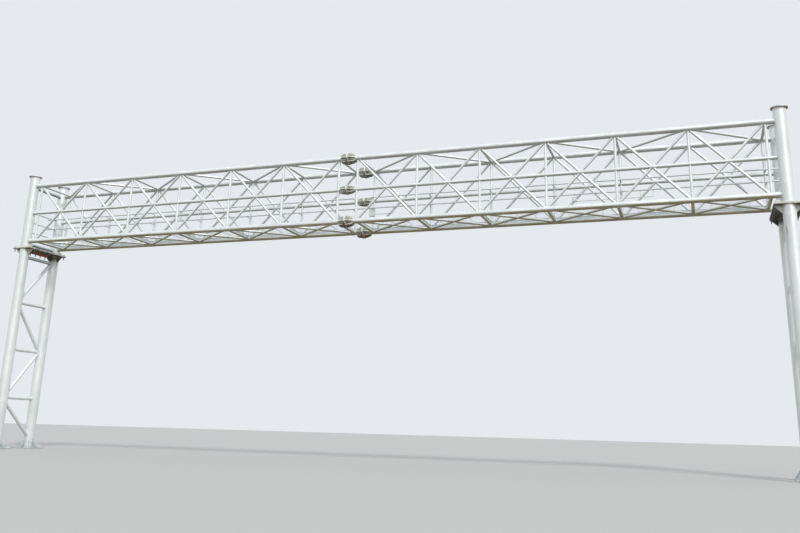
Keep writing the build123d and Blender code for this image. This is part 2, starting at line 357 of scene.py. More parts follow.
@dataclass(frozen=True)
class Seat:
    """How tubes end in a thicker round one, whose axis and radius it holds.

    The tubes stop at inset from that axis. Sides counts the points round a tube, and seam those
    along its bead. The rings crowd round each of the welds over reach.
    """

    axis: Point
    radius: float
    inset: float
    bead: float
    seam: int = 20
    sides: int = 20
    welds: tuple[float, ...] = (0.02, 0.98)
    reach: float = 0.06

    def join(self, shell: Shell, starts: Array, ends: Array, radius: float,
             slant: Array | float = 1.0) -> None:
        """Adds tubes between the axes of two thicker ones, and a bead at each end.

        The tubes stop short of those axes by inset / slant, out of sight.

        Args:
            shell: Where they go.
            starts: Points (n, 3) on the axis of one thick tube.
            ends: Points (n, 3) on the axis of the other.
            radius: Of the tubes.
            slant: Cosine of each tube's angle to the shortest way across.
        """
        along = unit(ends - starts)
        inside = along * (self.inset / slant)
        tubes(shell, starts + inside, ends - inside, radius, self.sides, self.welds, self.reach)
        self.beads(shell, starts, along, radius)
        self.beads(shell, ends, -along, radius)

    def beads(self, shell: Shell, feet: Array, along: Array, radius: float) -> None:
        """Adds the beads at one end of tubes that leave feet along a direction."""
        saddle_welds(shell, feet, along, radius, self.axis, self.radius, self.bead, self.seam)


ON_CHORD = Seat(axis=(1.0, 0.0, 0.0), radius=LAY.chord_r, inset=0.45 * LAY.chord_r, bead=0.006,
                welds=(0.03, 0.97))
ON_COLUMN = Seat(axis=(0.0, 0.0, 1.0), radius=LAY.column_r, inset=0.8 * LAY.column_r, bead=0.007,
                 seam=28, sides=24)


def blocks(shell: Shell, centres: Array, sizes: Array) -> None:
    """Adds boxes: the eight corners are centre +- half the size along each axis.

    Args:
        shell: Where they go.
        centres: Array (n, 3) or (3,).
        sizes: Array (n, 3) or (3,).
    """
    centres = np.atleast_2d(centres).astype(float)
    sizes = np.broadcast_to(sizes, centres.shape)
    signs = np.array([[x, y, z] for z in WAYS for y in WAYS for x in WAYS]) / 2
    shell.add(centres[:, None] + signs[None] * sizes[:, None],
              [spread(BLOCK_FACES, len(centres), 8)])


def lathe(profile: Array, corners: int = 0, sides: int = 24) -> tuple[Array, list[Array]]:
    """Turns a profile round Z, or gives it a polygon's outline where it is wider than that.

    A ring's radius is the profile's, but at most flat / cos(angle to the nearest flat's middle),
    with flat the largest radius times cos(pi / corners).

    Args:
        profile: Array (m, 2) of radius and height; caps close its first and last ring.
        corners: Of the polygon, or 0 for round.
        sides: Points in a ring.

    Returns:
        Points (m * sides, 3) and their faces.
    """
    a = angles(sides)
    radius = np.repeat(profile[:, :1], sides, axis=1)
    if corners:
        turn = 2 * np.pi / corners
        flat = profile[:, 0].max() * np.cos(np.pi / corners)
        radius = np.minimum(radius, (flat / np.cos((a + turn / 2) % turn - turn / 2))[None])
    points = rows(radius * np.cos(a), radius * np.sin(a), profile[:, 1:]).reshape(-1, 3)
    return points, tube_faces(len(profile), sides)


def copies(shell: Shell, shape: tuple[Array, list[Array]], places: Array, axis: Array,
           turn: float) -> None:
    """Adds a shape made along Z at many places: point = place + x * u + y * v + z * axis.

    Args:
        shell: Where they go.
        shape: Points and faces of the shape.
        places: Array (n, 3).
        axis: Unit direction (3,) of the shape's Z.
        turn: Radians between neighbours' turns about it, so that no two hexagons line up.
    """
    points, faces = shape
    axes = np.broadcast_to(axis, places.shape)
    u, v = cross_axes(axes)
    t = turn * np.arange(len(places))[:, None]
    u, v = np.cos(t) * u + np.sin(t) * v, np.cos(t) * v - np.sin(t) * u
    moved = places[:, None]
    for column, way in enumerate((u, v, axes)):
        moved = moved + points[None, :, column:column + 1] * way[:, None]
    shell.add(moved, [spread(group, len(places), len(points)) for group in faces])


# Finishes

class Value:
    """A number socket of a shader, with arithmetic that adds Math nodes."""

    def __init__(self, sketch: "Sketch", socket: bpy.types.NodeSocket) -> None:
        """Wraps a socket of the sketch's tree."""
        self.sketch = sketch
        self.socket = socket

    def __add__(self, other: "Value | float") -> "Value":
        """Sum."""
        return self.sketch.math("ADD", self, other)

    __radd__ = __add__

    def __sub__(self, other: "Value | float") -> "Value":
        """Difference."""
        return self.sketch.math("SUBTRACT", self, other)

    def __rsub__(self, other: float) -> "Value":
        """Difference from a number."""
        return self.sketch.math("SUBTRACT", other, self)

    def __mul__(self, other: "Value | float") -> "Value":
        """Product."""
        return self.sketch.math("MULTIPLY", self, other)

    __rmul__ = __mul__


Tint = Colour | bpy.types.NodeSocket


def opaque(colour: Tint) -> tuple[float, ...] | bpy.types.NodeSocket:
    """A plain colour with its alpha; a socket stays as it is."""
    return (*colour, 1.0) if isinstance(colour, tuple) else colour


class Sketch:
    """A node tree under construction."""

    def __init__(self, tree: bpy.types.NodeTree) -> None:
        """Takes the tree that the nodes go into."""
        self.tree = tree

    def node(self, kind: str, settings: dict | None = None,
             inputs: dict | None = None) -> bpy.types.Node:
        """Adds a node.

        Args:
            kind: Its type.
            settings: Its properties, set first.
            inputs: Values or links of its sockets, by name or number.

        Returns:
            The node.
        """
        made = self.tree.nodes.new(kind)
        for key, value in (settings or {}).items():
            setattr(made, key, value)
        for key, value in (inputs or {}).items():
            self.feed(made.inputs[key], value)
        return made

    def feed(self, target: bpy.types.NodeSocket, value: object) -> None:
        """Links a socket or a Value, or sets a number or colour.

        Args:
            target: The socket that takes it.
            value: What it takes.
        """
        if isinstance(value, Value):
            value = value.socket
        if isinstance(value, bpy.types.NodeSocket):
            self.tree.links.new(value, target)
        else:
            target.default_value = value

    def read(self, kind: str, output: str | int, settings: dict | None = None,
             inputs: dict | None = None) -> Value:
        """One output of a new node, as a Value."""
        return Value(self, self.node(kind, settings, inputs).outputs[output])

    def math(self, operation: str, *terms: Value | float) -> Value:
        """One Math node on values or numbers."""
        return self.read("ShaderNodeMath", 0, {"operation": operation}, dict(enumerate(terms)))

    def between(self, value: Value, low: float, high: float) -> Value:
        """A smooth step: 0 at low and 1 at high, also where low is the larger.

        Args:
            value: What is compared.
            low: Where the step is 0.
            high: Where it is 1.

        Returns:
            The step, level outside of the two.
        """
        flip = low > high
        return self.read("ShaderNodeMapRange", "Result", {"interpolation_type": "SMOOTHSTEP"},
                         {"Value": value, "From Min": min(low, high), "From Max": max(low, high),
                          "To Min": 1.0 if flip else 0.0, "To Max": 0.0 if flip else 1.0})

    def seen(self) -> Value:
        """Tells the rays that see a thing apart from those that it lights.

        Returns:
            1 for a ray from the camera, off a gloss or through glass, and 0 for the others.
        """
        path = self.node("ShaderNodeLightPath").outputs
        direct = self.math("MAXIMUM", path["Is Camera Ray"], path["Is Glossy Ray"])
        return self.math("MAXIMUM", direct, path["Is Transmission Ray"])


class Paint(Sketch):
    """A material under construction."""

    def __init__(self, name: str, metallic: float, specular: float) -> None:
        """Starts a material with a Principled shader.

        Args:
            name: Of the material.
            metallic: The shader's Metallic, the same all over.
            specular: The shader's Specular IOR Level, the same all over.
        """
        self.material = bpy.data.materials.new(name)
        self.material.use_nodes = True
        super().__init__(self.material.node_tree)
        self.shader = next(n for n in self.tree.nodes if n.type == "BSDF_PRINCIPLED")
        self.shader.inputs["Metallic"].default_value = metallic
        self.shader.inputs["Specular IOR Level"].default_value = specular
        self.place = self.node("ShaderNodeTexCoord").outputs["Object"]

    def stretched(self, scale: Sequence[float]) -> bpy.types.NodeSocket:
        """Object coordinates multiplied along each axis."""
        inputs = {"Vector": self.place, "Scale": tuple(scale)}
        return self.node("ShaderNodeMapping", inputs=inputs).outputs[0]

    def noise(self, scale: float, detail: float, stretch: Sequence[float] = (1, 1, 1),
              roughness: float = 0.5) -> Value:
        """A noise value, about 0.5 on average."""
        return self.read("ShaderNodeTexNoise", "Fac", inputs={
            "Vector": self.stretched(stretch), "Scale": scale, "Detail": detail,
            "Roughness": roughness})

    def axis(self, name: str) -> Value:
        """One of the object coordinates, by its letter."""
        return self.read("ShaderNodeSeparateXYZ", name, inputs={0: self.place})

    def from_upright(self, x: float, y: float) -> Value:
        """Level distance from an upright line through x and y."""
        return self.read("ShaderNodeVectorMath", "Value", {"operation": "DISTANCE"},
                         {0: self.stretched((1, 1, 0)), 1: (x, y, 0.0)})

    def facing(self, name: str) -> Value:
        """One axis of the surface's outward direction, by its letter."""
        normal = self.node("ShaderNodeNewGeometry").outputs["Normal"]
        return self.read("ShaderNodeSeparateXYZ", name, inputs={0: normal})

    def attribute(self, name: str) -> Value:
        """A value stored on the mesh."""
        return self.read("ShaderNodeAttribute", "Fac", {"attribute_name": name})

    def mix(self, factor: Value | float, first: Tint, second: Tint) -> bpy.types.NodeSocket:
        """A blend of two colours."""
        inputs = {0: factor, 6: opaque(first), 7: opaque(second)}
        return self.node("ShaderNodeMix", {"data_type": "RGBA"}, inputs).outputs[2]

    def finish(self, colour: bpy.types.NodeSocket, roughness: Value | float,
               height: Value | None = None, depth: float = 0.0,
               strength: float = 0.0) -> bpy.types.Material:
        """Feeds the shader.

        Args:
            colour: Base Color.
            roughness: Roughness.
            height: What the bump reads, if any.
            depth: Metres of relief for a height of 1.
            strength: Of the bump.

        Returns:
            The material.
        """
        self.feed(self.shader.inputs["Base Color"], colour)
        self.feed(self.shader.inputs["Roughness"], roughness)
        if height is not None:
            bump = self.node("ShaderNodeBump", inputs={"Strength": strength, "Distance": depth,
                                                       "Height": height})
            self.feed(self.shader.inputs["Normal"], bump.outputs["Normal"])
        return self.material


@dataclass(frozen=True)
class Streak:
    """A streak that hangs down: its upright line, top, width to each side, length and cover."""

    x: float
    y: float
    top: float
    width: float
    length: float
    share: float


@dataclass(frozen=True)
class Galvanised:
    """Dulled hot-dip zinc: spangle, cloudy patches, runs, dust and painted shade below, weld
    stains.

    The crystals, clouds and runs are counted per metre. Below lies road dust with painted shade and
    painted bounce light: it goes from its low colour to its high one over high_z and comes in as a
    face turns down over grime_tilt. Painted shade also lies on the lower halves of what has
    its middle at grime_under. Rust drips down over the heights rust_z. The roughness is that of
    dull patches, then what light patches, crystals and the dust and shade add to it.
    """

    name: str
    tone: Colour = (0.72, 0.755, 0.765)
    bright: Colour = (0.86, 0.885, 0.89)
    spangle: float = 0.16
    crystals: float = 70.0
    clouds: float = 2.1
    runs: float = 9.0
    run_squeeze: float = 0.12
    cloud_share: float = 0.7
    patch_range: tuple[float, float] = (0.32, 0.68)
    stretch: Point = (1.0, 1.0, 1.0)
    roughness: tuple[float, float, float, float] = (0.36, 0.16, 0.10, 0.18)
    relief: float = 0.0012
    # Below: road dust with painted shade and painted bounce light, low and high colours.
    grime: Colour = (0.315, 0.27, 0.145)
    grime_high: Colour = (0.40, 0.41, 0.375)
    high_z: tuple[float, float] = (7.04, 7.2)
    grime_below: float = 0.92
    grime_tilt: tuple[float, float] = (0.12, 0.5)
    # Middle height of the things whose lower halves get painted shade.
    grime_under: float | None = None
    grime_fade: tuple[float, float] | None = None
    # Colour of weld stains, and of road dust with painted shade near the ground.
    stain: Colour = (0.42, 0.43, 0.42)
    stain_share: float = 0.35
    splash: float = 0.0
    splash_z: float = 0.5
    rust: Colour = (0.36, 0.235, 0.12)
    rust_below: float = 0.0
    rust_share: float = 0.0
    rust_cover: float = 0.62
    rust_scale: float = 11.0
    rust_z: tuple[float, float] = (0.0, 0.0)
    rusty: tuple[Streak, ...] = ()
    # Dark streaks that hang below the head plates.
    dark_streak: Colour = (0.055, 0.06, 0.042)
    dark_streaks: tuple[Streak, ...] = ()

    def build(self) -> bpy.types.Material:
        """Makes the material.

        Returns:
            A material whose colour and roughness vary by patch, grain, height and facing.
        """
        s = Paint(self.name, metallic=0.4, specular=0.5)
        grain = s.node("ShaderNodeTexVoronoi", {"feature": "F1"},
                       {"Vector": s.place, "Scale": self.crystals})
        crystal = s.read("ShaderNodeSeparateColor", 0, inputs={0: grain.outputs["Color"]})
        cloud = s.noise(self.clouds, detail=4.0, stretch=self.stretch, roughness=0.6)
        upright = (*self.stretch[:2], self.stretch[2] * self.run_squeeze)
        runs = s.noise(self.runs, detail=3.0, stretch=upright)
        patches = cloud * self.cloud_share + runs * (1 - self.cloud_share)
        light = s.between(patches + (crystal - 0.5) * self.spangle, *self.patch_range)
        height = s.axis("Z")
        # Share of road dust and painted shade, on what faces down.
        below = self.soiling(s, height, cloud)
        zinc = s.mix(light, self.tone, self.bright)
        # Colour of the dust and painted shade, browner low down.
        dust_and_shade_colour = s.mix(s.between(height, *self.high_z), self.grime, self.grime_high)
        zinc = self.stained(s, s.mix(below, zinc, dust_and_shade_colour), height, runs)
        zinc = self.streaked(s, self.rusted(s, zinc, height), height)
        dull, by_light, by_crystal, by_dust_and_shade = self.roughness
        rough = dull + by_light * light + by_crystal * crystal + by_dust_and_shade * below
        bumps = crystal * 0.4 + s.noise(30.0, detail=3.0)
        return s.finish(zinc, rough, bumps, depth=self.relief, strength=0.25)

    def soiling(self, s: Paint, height: Value, cloud: Value) -> Value:
        """Share of dust and painted shade below, and of painted shade on lower halves at
        grime_under.

        Args:
            s: The material.
            height: Z.
            cloud: The zinc's patches, which thin the grime.

        Returns:
            The share, from 0 to 1.
        """
        tilt = s.between(s.facing("Z"), -self.grime_tilt[0], -self.grime_tilt[1])
        if self.grime_under is not None:  # Splices stand a metre apart, so the fraction serves all.
            half_way = 0.5
            rise = s.math("FRACT", height - (self.grime_under - half_way)) - half_way
            off_ends = s.between(s.math("ABSOLUTE", s.facing("X")), 0.3, 0.1)
            # Painted shade on the lower halves, on faces that look neither along X nor up.
            shaded_lower_half = s.between(rise, 0.03, -0.06)
            not_up = s.between(s.facing("Z"), 0.25, -0.15)
            tilt = s.math("MAXIMUM", tilt, shaded_lower_half * off_ends * not_up)
        least = 0.8
        below = tilt * self.grime_below * (least + (1 - least) * s.between(cloud, 0.3, 0.6))
        if self.grime_fade is not None:
            below = below * s.between(height, *self.grime_fade)
        return below

    def stained(self, s: Paint, zinc: Tint, height: Value, runs: Value) -> Tint:
        """Dulls the zinc round welds and, with splash, near the ground: road dust and painted
        shade.

        Args:
            s: The material.
            zinc: Its colour so far.
            height: Z.
            runs: The upright runs, which break the splash's edge.

        Returns:
            The colour.
        """
        weld = s.between(s.attribute("near_weld"), 0.25, 1.0) * self.stain_share
        blotches = s.between(s.noise(24.0, detail=2.0), 0.25, 0.7)
        zinc = s.mix(weld * blotches, zinc, self.stain)
        # Road dust near the ground, with painted shade there.
        if self.splash > 0:
            ragged = 0.3
            low = s.between(height + ragged * (runs - 0.5), self.splash_z, 0.0)
            spots = s.between(s.noise(13.0, detail=4.0), 0.35, 0.65)
            zinc = s.mix(low * spots * self.splash, zinc, self.stain)
        return zinc

    def rusted(self, s: Paint, zinc: Tint, height: Value) -> Tint:
        """Adds upright drips of rust in a band of heights, and patches on what faces down.

        Args:
            s: The material.
            zinc: Its colour so far.
            height: Z.

        Returns:
            The colour.
        """
        if self.rust_share > 0:
            long, soft = (1.0, 1.0, 0.09), 0.1
            drips = s.noise(self.rust_scale, detail=4.0, stretch=long, roughness=0.65)
            drips = s.between(drips, self.rust_cover - soft, self.rust_cover + soft)
            top = self.rust_z[1]
            band = s.between(height, *self.rust_z) * s.between(height, top + 0.02, top + 0.01)
            zinc = s.mix(drips * band * self.rust_share, zinc, self.rust)
        if self.rust_below > 0:
            patches = s.between(s.noise(4.5, detail=5.0, roughness=0.6), 0.40, 0.58)
            under = s.between(s.facing("Z"), -0.4, -0.8)
            zinc = s.mix(under * patches * self.rust_below, zinc, self.rust)
        return zinc

    def streaked(self, s: Paint, zinc: Tint, height: Value) -> Tint:
        """Adds the single streaks of rust and the dark streaks.

        Args:
            s: The material.
            zinc: Its colour so far.
            height: Z.

        Returns:
            The colour.
        """
        core = 0.3  # Share of its width and of its length over which a streak is full.
        for streaks, colour, low in ((self.rusty, self.rust, 0.3), (self.dark_streaks, self.dark_streak, 0.15)):
            for k in streaks:
                across = s.between(s.from_upright(k.x, k.y), k.width, core * k.width)
                foot = s.between(height, k.top - k.length, k.top - core * k.length)
                head = s.between(height, k.top + 0.03, k.top - 0.05)
                broken = s.between(s.noise(16.0, detail=4.0, stretch=(1, 1, 0.3)), low, low + 0.3)
                zinc = s.mix(across * foot * head * broken * k.share, zinc, colour)
        return zinc


@dataclass(frozen=True)
class RustedSteel:
    """Bare steel gone brown, with darker pits and orange bloom."""

    name: str
    dark: Colour = (0.20, 0.085, 0.05)
    brown: Colour = (0.45, 0.20, 0.115)
    bloom: Colour = (0.56, 0.30, 0.18)
    bloom_share: float = 0.6
    relief: float = 0.002

    def build(self) -> bpy.types.Material:
        """Makes the material.

        Returns:
            A rough brown material.
        """
        s = Paint(self.name, metallic=0.1, specular=0.3)
        coarse = s.noise(14.0, detail=5.0, roughness=0.65)
        fine = s.noise(120.0, detail=3.0)
        colour = s.mix(s.between(coarse, 0.35, 0.6), self.dark, self.brown)
        blooms = s.between(coarse * 0.6 + fine * 0.4, 0.52, 0.7) * self.bloom_share
        colour = s.mix(blooms, colour, self.bloom)
        rough, bumps = 0.72 + 0.2 * fine, coarse + fine * 0.5
        return s.finish(colour, rough, bumps, depth=self.relief, strength=0.6)


class Finish(Enum):
    """The gantry's finishes, each made once and shared."""

    # Near the ground it takes road dust with painted shade.
    COLUMN = Galvanised(
        "column_zinc", stretch=(1.0, 1.0, 0.5), grime_below=0.4, splash=0.6, rust_share=0.25,
        rust_z=(5.6, 6.69),
        rusty=(Streak(12.085, -0.842, 6.14, 0.04, 0.8, 0.65),
               Streak(12.17, -0.885, 6.69, 0.07, 1.0, 0.22),
               Streak(-12.24, -0.885, 6.45, 0.03, 0.35, 0.5),
               Streak(-12.31, -0.84, 3.1, 0.03, 0.6, 0.5),
               Streak(12.36, 0.75, 6.6, 0.05, 0.8, 0.6),
               Streak(-12.04, 0.70, 6.6, 0.04, 0.7, 0.6)),
        # Dark streaks hang below the rear columns' head plates.
        dark_streaks=tuple(Streak(hand.x, Face.REAR.y, 6.69, 0.6, 0.24, 0.85) for hand in Hand))
    TUBE = Galvanised("tube_zinc")
    # Darker all over: painted shade of the deck on the lower ties, which the top ties share.
    TIE = Galvanised(
        "tie_zinc", tone=(0.40, 0.46, 0.46), bright=(0.60, 0.67, 0.67), grime=(0.09, 0.12, 0.11),
        grime_high=(0.27, 0.28, 0.25), grime_below=0.95, grime_tilt=(-0.1, 0.5))
    WEB = Galvanised(
        "web_zinc", grime=(0.34, 0.34, 0.30), grime_high=(0.35, 0.36, 0.33), grime_below=0.7)
    BRACE = Galvanised(
        "brace_zinc", grime=(0.25, 0.25, 0.225), grime_below=0.85, grime_fade=(3.6, 6.2))
    # Near the ground it takes road dust with painted shade.
    PLATE = Galvanised(
        "plate_zinc", tone=(0.45, 0.49, 0.51), bright=(0.70, 0.74, 0.76), spangle=0.18,
        splash=0.45)
    CAP = Galvanised(
        "cap_zinc", tone=(0.64, 0.67, 0.68), spangle=0.22, grime_high=(0.16, 0.13, 0.10),
        rust_below=0.35, rust=(0.38, 0.16, 0.07),
        rusty=(Streak(12.40, -0.80, 9.40, 0.12, 0.3, 0.85),
               Streak(-12.39, -0.70, 9.40, 0.06, 0.3, 0.6)))
    # Near black below: rust and dust with painted shade under the head plates.
    JOINT = Galvanised(
        "joint_zinc", tone=(0.61, 0.62, 0.57), bright=(0.78, 0.78, 0.72), spangle=0.22,
        grime=(0.055, 0.055, 0.035), grime_below=0.98, rust=(0.11, 0.065, 0.035), rust_below=0.3,
        rust_share=0.75, rust_cover=0.45, rust_scale=4.0, rust_z=(6.67, 6.70),
        # Dark streaks hang below the head plates at the rear columns and midway between them.
        dark_streaks=tuple(Streak(hand.x, y, 6.70, 0.85, length, 0.92) for hand in Hand
                    for y, length in ((Face.REAR.y, 0.6), (0.0, 0.4))))
    # Its dark lower halves between the ribs are painted shade; below, dust with painted shade.
    SPLICE = Galvanised(
        "splice_zinc", tone=(0.72, 0.72, 0.67), bright=(0.86, 0.86, 0.81), spangle=0.2,
        grime=(0.09, 0.07, 0.045), grime_high=(0.09, 0.085, 0.065), grime_below=0.97,
        grime_tilt=(0.6, 0.98), grime_under=LAY.bottom_z, rust=(0.16, 0.065, 0.035),
        rusty=tuple(Streak(0.0, face.y, 6.88, 0.4, 0.12, 0.6) for face in Face))
    FASTENER = Galvanised(
        "fastener_zinc", tone=(0.45, 0.46, 0.46), bright=(0.62, 0.63, 0.63), spangle=0.1,
        grime_below=0.3)
    HEAD_BOLT = Galvanised(
        "head_bolt_zinc", tone=(0.15, 0.15, 0.14), bright=(0.25, 0.25, 0.235),
        grime=(0.05, 0.045, 0.03), spangle=0.1)
    GRATING = Galvanised(
        "grating_zinc", tone=(0.74, 0.80, 0.82), bright=(0.86, 0.90, 0.91), grime_below=0.0)
    RUSTED = RustedSteel("rusted_steel")


@cache
def material_of(finish: Finish) -> bpy.types.Material:
    """A finish's material, made at the first call."""
    return finish.value.build()


NODE_FINISHES = {
    "base_plates": Finish.PLATE, "head_flanges": Finish.JOINT, "splice_flanges": Finish.SPLICE,
    "head_beams": Finish.JOINT, "column_caps": Finish.CAP, "head_packing_blocks": Finish.RUSTED,
    "lower_column": Finish.COLUMN, "upper_column": Finish.COLUMN}


def dress_solids() -> None:
    """Gives the nodes that stay their finishes, in all their slots."""
    for node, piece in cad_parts.items():
        for ending, finish in NODE_FINISHES.items():
            if node.endswith(ending):
                slots = piece.data.materials
                if not slots:
                    slots.append(material_of(finish))
                for slot in range(len(slots)):
                    slots[slot] = material_of(finish)


# Sub-assemblies

class Slot(Enum):
    """Slot names that the pieces are built with; nothing here reads them."""

    TRUSS = "truss_steel"
    PLATE = "plate_steel"
    RAIL = "rail_steel"
    GRATING = "grating_steel"


def placed(shell: Shell, finish: Finish, slot: Slot, *nodes: str) -> bpy.types.Object:
    """Makes a piece of a shell, rides it on the gantry and hides the nodes that it stands in for.

    Args:
        shell: Its mesh.
        finish: Its look.
        slot: Not used.
        nodes: The nodes that it replaces, if any.

    Returns:
        The piece.
    """
    piece = shell.build(material_of(finish))
    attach(piece, "root")
    if nodes:
        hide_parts(*nodes)
    return piece


class Assembly(ABC):
    """A part of the gantry that makes its own pieces."""

    @abstractmethod
    def build(self) -> Pieces:
        """Makes the pieces one after another."""


@dataclass
class Chords(Assembly):
    """The six chords of one half, as round tubes from splice to column."""

    hand: Hand
    inset: float = 0.03
    seat: Seat = replace(ON_COLUMN, bead=0.008, seam=36, sides=32)
    reach: float = 0.12

    def build(self) -> Pieces:
        """Builds the chords with their welds at the columns.

        Returns:
            One piece for each chord.
        """
        way = self.hand.value
        inner, outer = way * LAY.splice_t, way * (LAY.column_x - LAY.column_r + self.inset)
        for face in Face:
            for level, z, radius in (("bottom", LAY.bottom_z, LAY.chord_r),
                                     ("mid", LAY.mid_z, LAY.mid_r),
                                     ("top", LAY.top_z, LAY.chord_r)):
                node = f"{self.hand.label}_{face.label}_{level}_chord"
                shell = Shell(f"{node}_tube")
                tubes(shell, [inner, face.y, z], [outer, face.y, z], radius, self.seat.sides,
                      reach=self.reach)
                self.seat.beads(shell, [self.hand.x, face.y, z], [-way, 0, 0], radius)
                yield placed(shell, Finish.TUBE, Slot.TRUSS, node)


@dataclass
class FaceWeb(Assembly):
    """Posts and crossed diagonals of one vertical face of one half."""

    hand: Hand
    face: Face
    seat: Seat = replace(ON_CHORD, welds=(0.03, 0.5, 0.97))
    mid_seat: Seat = replace(ON_CHORD, radius=LAY.mid_r)

    def build(self) -> Pieces:
        """Builds the web with beads at the chords.

        Returns:
            The web.
        """
        node = f"{self.hand.label}_{self.face.label}_web"
        shell = Shell(f"{node}_tubes")
        xs = LAY.points(self.hand)
        starts = rows(np.concatenate([xs, xs[:-1], xs[1:]]), self.face.y, LAY.bottom_z)
        ends = rows(np.concatenate([xs, xs[1:], xs[:-1]]), self.face.y, LAY.top_z)
        self.seat.join(shell, starts, ends, LAY.web_r)
        along = unit(ends - starts)
        for way in (along, -along):
            self.mid_seat.beads(shell, (starts + ends) / 2, way, LAY.web_r)
        yield placed(shell, Finish.WEB, Slot.TRUSS, node)


@dataclass
class LevelBracing(Assembly):
    """Struts and diagonals of one half's top or floor."""

    hand: Hand
    node: str
    z: float
    strut_r: float
    crossed: bool

    def build(self) -> Pieces:
        """Builds the bracing with beads at the chords.

        Returns:
            The bracing.
        """
        node = f"{self.hand.label}_{self.node}"
        shell = Shell(f"{node}_tubes")
        xs, d = LAY.points(self.hand), LAY.half_depth
        left, right = np.sort(xs)[:-1], np.sort(xs)[1:]
        zigzag = np.where(np.arange(LAY.bays) % 2 == 0, d, -d)
        lines = [(xs, xs, -d, self.strut_r), (left, right, zigzag, LAY.web_r)]
        if self.crossed:
            lines.append((left, right, -zigzag, LAY.web_r))
        for x0, x1, y, radius in lines:
            ON_CHORD.join(shell, rows(x0, y, self.z), rows(x1, -y, self.z), radius)
        yield placed(shell, Finish.TUBE, Slot.TRUSS, node)


@dataclass
class TowerBracing(Assembly):
    """Struts and zigzag diagonals between one tower's lower columns.

    Strut k lies at top_z - k * pitch. A diagonal goes down from it to the next strut, or at last
    to foot_z. It leaves the rear column where k is even and the front one where k is odd. On the
    columns' inner faces it ends spread_rear or spread_front from the struts' axes.
    """

    hand: Hand
    radius: float = 0.054
    top_z: float = 6.42
    pitch: float = 1.59
    struts: int = 4
    spread_front: float = 0.19
    spread_rear: float = 0.045
    foot_z: float = 0.46

    def build(self) -> Pieces:
        """Builds the bracing with beads at the columns.

        Returns:
            The bracing.
        """
        node = f"{self.hand.label}_tower_bracing"
        shell = Shell(f"{node}_tubes")
        x, d = self.hand.x, LAY.half_depth
        levels = self.top_z - self.pitch * np.arange(self.struts)
        rear = np.arange(self.struts) % 2 == 0
        above = np.where(rear, self.spread_front, self.spread_rear)
        below = np.where(rear, self.spread_rear, self.spread_front)
        faces = np.where(rear, 1.0, -1.0) * (d - LAY.column_r)
        high = rows(x, faces, levels - below)
        foot = rows(x, -faces, np.append(levels[1:] + above[:-1], self.foot_z))
        along = unit(foot - high)
        slope = along * (LAY.column_r / np.abs(along[:, 1:2]))
        starts = np.concatenate([rows(x, -d, levels), high - slope])
        ends = np.concatenate([rows(x, d, levels), foot + slope])
        slant = np.abs(unit(ends - starts)[:, 1:2])
        ON_COLUMN.join(shell, starts, ends, self.radius, slant)
        yield placed(shell, Finish.BRACE, Slot.TRUSS, node)


@dataclass
class ColumnTies(Assembly):
    """Cross tubes between the upper columns of both towers."""

    radius: float = 0.057
    below_top: float = 0.045
    below_bottom: float = 0.085
    seat: Seat = replace(ON_COLUMN, reach=0.07)

    def build(self) -> Pieces:
        """Builds the four ties with beads at the columns.

        Returns:
            The ties.
        """
        shell = Shell("column_ties_tubes")
        levels = (LAY.top_z - self.below_top, LAY.bottom_z - self.below_bottom)
        places = np.array([[hand.x, 0.0, z] for hand in Hand for z in levels])
        half = LAY.half_depth * Y_AXIS
        self.seat.join(shell, places - half, places + half, self.radius)
        yield placed(shell, Finish.TIE, Slot.TRUSS, "column_ties")


